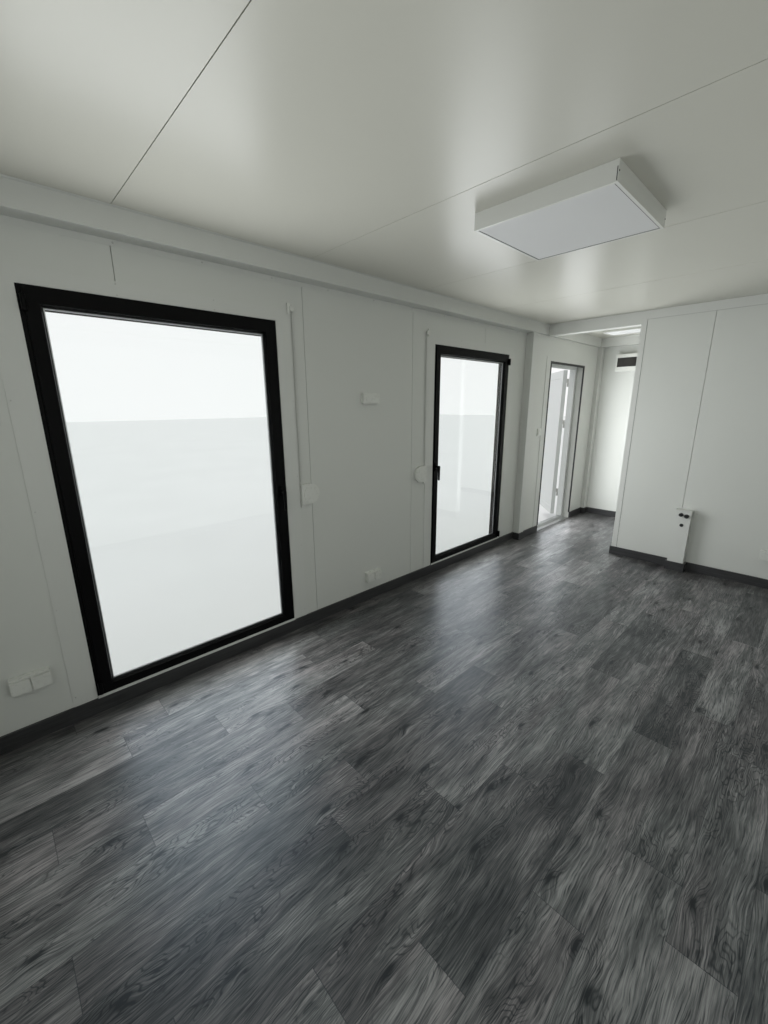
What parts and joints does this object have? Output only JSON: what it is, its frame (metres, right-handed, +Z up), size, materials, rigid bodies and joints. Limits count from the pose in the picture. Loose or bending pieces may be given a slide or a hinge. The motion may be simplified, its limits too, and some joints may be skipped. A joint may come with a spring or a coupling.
{
  "type": "portable site cabin",
  "caption": "Hollow steel-framed site cabin with sandwich-panel walls, tall front windows, roller-shutter boxes and a side-hung entrance door standing open.",
  "frame": {"origin": "on the ground under the middle of the cabin, on the underside of the base frame's middle cross-member", "axes": "+Z up; +X along the cabin's length towards the near end wall; the front with the windows and the door faces -Y"},
  "size_m": [6.9965, 3.6392, 2.765],
  "materials": {
    "frame_steel": "satin",
    "deck_board": "matte",
    "floor_vinyl": "satin",
    "roof_steel": "satin",
    "ceiling_skin": "gloss",
    "wall_skin": "satin",
    "white_trim": "satin",
    "skirting": "matte",
    "window_black": "satin",
    "glass": "gloss",
    "white_plastic": "gloss",
    "shutter": "satin",
    "strap": "matte",
    "door_white": "satin",
    "black_plastic": "matte",
    "smoked_plastic": "gloss",
    "threshold": "satin",
    "hinge_steel": "satin",
    "lamp_white": "satin",
    "diffuser": "satin"
  },
  "bodies": {
    "cabin": {"base_frame": "frame_steel", "cross_members": "frame_steel", "floor_deck": "deck_board", "floor_covering": "floor_vinyl", "corner_posts": "frame_steel", "roof_frame": "frame_steel", "roof_sheet": "roof_steel", "ceiling_panels": "ceiling_skin", "front_wall": "wall_skin", "rear_wall": "wall_skin", "near_end_wall": "wall_skin", "far_end_wall": "wall_skin", "entrance_wall_left": "wall_skin", "entrance_wall_right": "wall_skin", "entrance_wall_over": "wall_skin", "entrance_post": "white_trim", "partition_wall": "wall_skin", "partition_trim": "white_trim", "cornices": "white_trim", "casings": "white_trim", "skirting_boards": "skirting", "window_frames": "window_black", "window_sashes": "window_black", "window_glass": "glass", "window_fittings": "window_black", "window_sills": "threshold", "opening_trims": "white_trim", "shutter_boxes": "shutter", "shutter_guides": "shutter", "shutter_slats": "shutter", "strap_winders": "white_plastic", "shutter_straps": "strap", "door_frame": "door_white", "door_threshold": "threshold", "door_hinge_pins": "hinge_steel", "lamp_housings": "lamp_white", "lamp_diffusers": "diffuser", "wall_boxes": "white_plastic", "pipe_box": "white_trim", "pipe_stubs": "black_plastic", "fuse_box": "white_plastic", "fuse_box_window": "smoked_plastic"},
    "door": {"door_leaf": "door_white", "door_hinge_wings": "hinge_steel", "door_handles": "hinge_steel"}
  },
  "joints": [
    {"name": "door_hinge", "type": "hinge", "parent": "cabin", "child": "door", "pos_m": [-2.84, -1.513, 1], "axis": [0, 0, 1], "range_deg": [-25, 140]}
  ]
}
